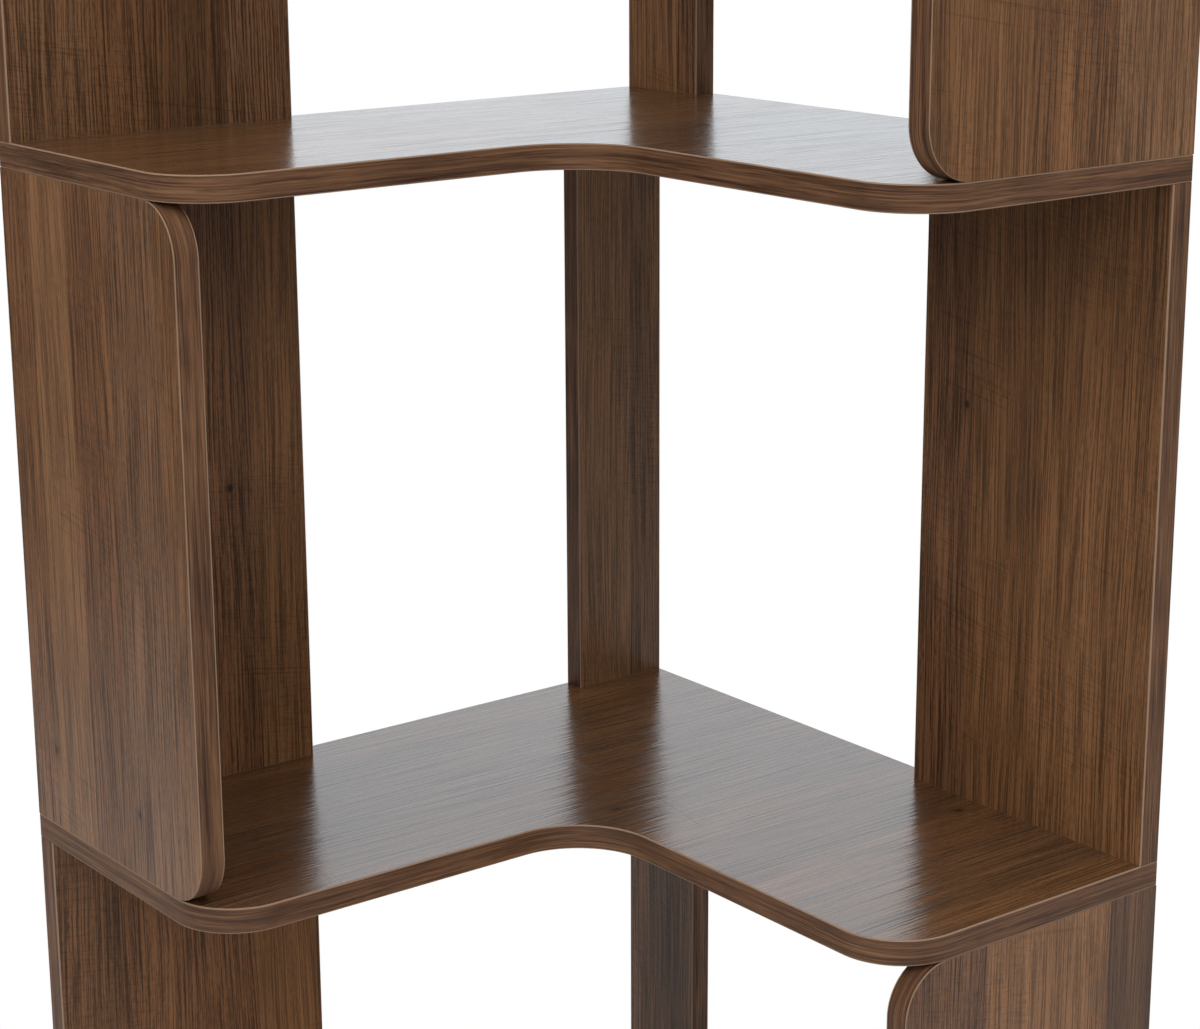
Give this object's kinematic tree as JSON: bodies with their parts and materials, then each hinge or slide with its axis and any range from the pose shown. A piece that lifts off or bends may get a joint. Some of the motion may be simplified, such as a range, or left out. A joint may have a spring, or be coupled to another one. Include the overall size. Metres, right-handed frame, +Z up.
{
  "type": "corner bookcase",
  "caption": "Tall L-shaped corner bookcase: shelves with rounded front corners on narrow upright boards that change sides from tier to tier.",
  "frame": {"origin": "on the floor, at the middle of the outer box, under the open inner corner of the L", "axes": "+Z up, +X along the right wing away from the wall corner, +Y towards the wall that the right wing stands against; the left wing runs along -Y and stands against the wall at -X"},
  "size_m": [0.47, 0.47, 1.6427],
  "materials": {
    "shelf_walnut": "semi-gloss walnut-grain laminate, banded edges",
    "panel_walnut": "satin walnut-grain laminate, grain upright, banded edges",
    "zinc_steel": "bright zinc plating",
    "beech": "plain, fluted",
    "black_plastic": "moulded"
  },
  "bodies": {
    "root": {"shelf_1": "shelf_walnut", "shelf_2": "shelf_walnut", "shelf_3": "shelf_walnut", "shelf_4": "shelf_walnut", "shelf_5": "shelf_walnut", "left_back_panel_1": "panel_walnut", "right_back_panel_1": "panel_walnut", "corner_panel_1": "panel_walnut", "end_panel_1": "panel_walnut", "left_back_panel_2": "panel_walnut", "right_back_panel_2": "panel_walnut", "corner_panel_2": "panel_walnut", "end_panel_2": "panel_walnut", "left_back_panel_3": "panel_walnut", "right_back_panel_3": "panel_walnut", "corner_panel_3": "panel_walnut", "end_panel_3": "panel_walnut", "left_back_panel_4": "panel_walnut", "right_back_panel_4": "panel_walnut", "corner_panel_4": "panel_walnut", "end_panel_4": "panel_walnut", "corner_foot_dowel_1": "beech", "end_foot_dowel_1_back": "beech", "end_foot_dowel_1_front": "beech", "corner_head_dowel_1": "beech", "end_head_dowel_1_back": "beech", "end_head_dowel_1_front": "beech", "corner_foot_dowel_2": "beech", "end_foot_dowel_2_back": "beech", "end_foot_dowel_2_front": "beech", "corner_head_dowel_2": "beech", "end_head_dowel_2_back": "beech", "end_head_dowel_2_front": "beech", "corner_foot_dowel_3": "beech", "end_foot_dowel_3_back": "beech", "end_foot_dowel_3_front": "beech", "corner_head_dowel_3": "beech", "end_head_dowel_3_back": "beech", "end_head_dowel_3_front": "beech", "corner_foot_dowel_4": "beech", "end_foot_dowel_4_back": "beech", "end_foot_dowel_4_front": "beech", "corner_head_dowel_4": "beech", "end_head_dowel_4_back": "beech", "end_head_dowel_4_front": "beech", "left_stud_2": "zinc_steel", "left_stud_3": "zinc_steel", "left_stud_4": "zinc_steel", "left_top_screw": "zinc_steel", "left_bottom_screw": "zinc_steel", "right_stud_2": "zinc_steel", "right_stud_3": "zinc_steel", "right_stud_4": "zinc_steel", "right_top_screw": "zinc_steel", "right_bottom_screw": "zinc_steel", "glide_corner": "black_plastic", "glide_left_back": "black_plastic", "glide_left_front": "black_plastic", "glide_right_back": "black_plastic", "glide_right_front": "black_plastic"}
  },
  "joints": []
}
